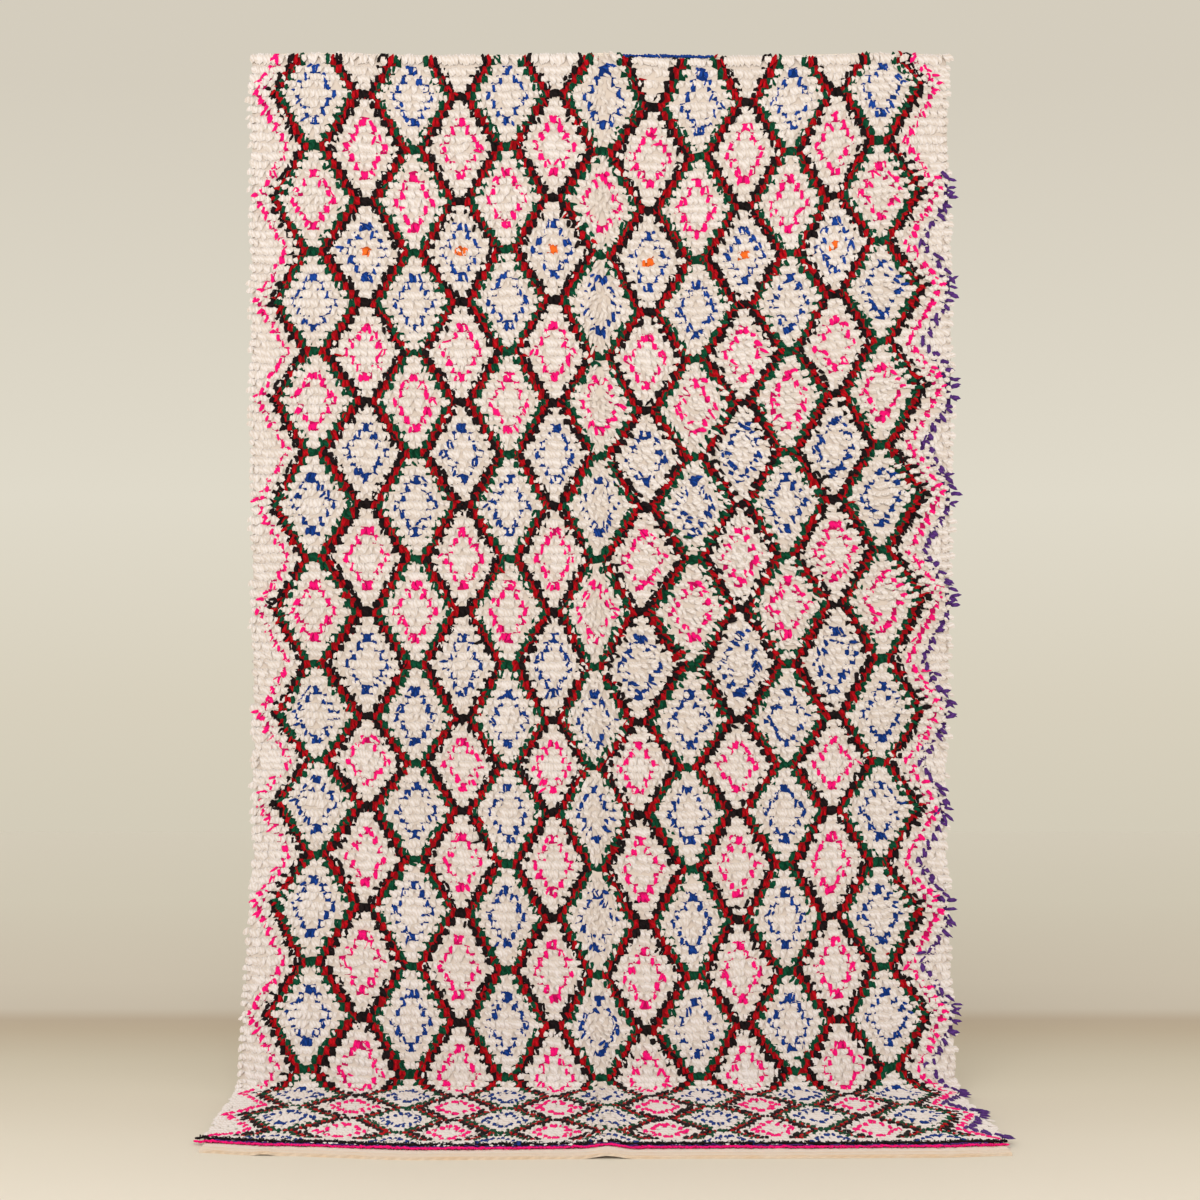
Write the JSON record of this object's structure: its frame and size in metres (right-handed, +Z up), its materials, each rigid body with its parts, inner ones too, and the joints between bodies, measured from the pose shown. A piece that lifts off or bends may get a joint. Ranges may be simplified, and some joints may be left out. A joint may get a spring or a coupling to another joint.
{
  "type": "azilal rug",
  "caption": "Hand-knotted wool pile rug with a diamond lattice, hanging from its top edge with its lower end laid out flat on the floor.",
  "frame": {"origin": "on the floor, under the middle of the rug's box", "axes": "+Z up, +X to the right as the pile is looked at, -Y out of the hanging pile and along the part that lies on the floor"},
  "size_m": [1.5378, 0.7234, 2.1935],
  "materials": {
    "wool_ivory": "undyed wool pile",
    "wool_black": "black wool pile",
    "wool_red": "red wool pile",
    "wool_green": "dark green wool pile",
    "wool_pink": "hot pink wool pile",
    "wool_blue": "blue wool pile",
    "wool_orange": "orange wool pile",
    "wool_purple": "purple wool pile",
    "weave": "flat ground weave"
  },
  "bodies": {
    "root": {"rug": "wool_ivory"}
  },
  "joints": []
}
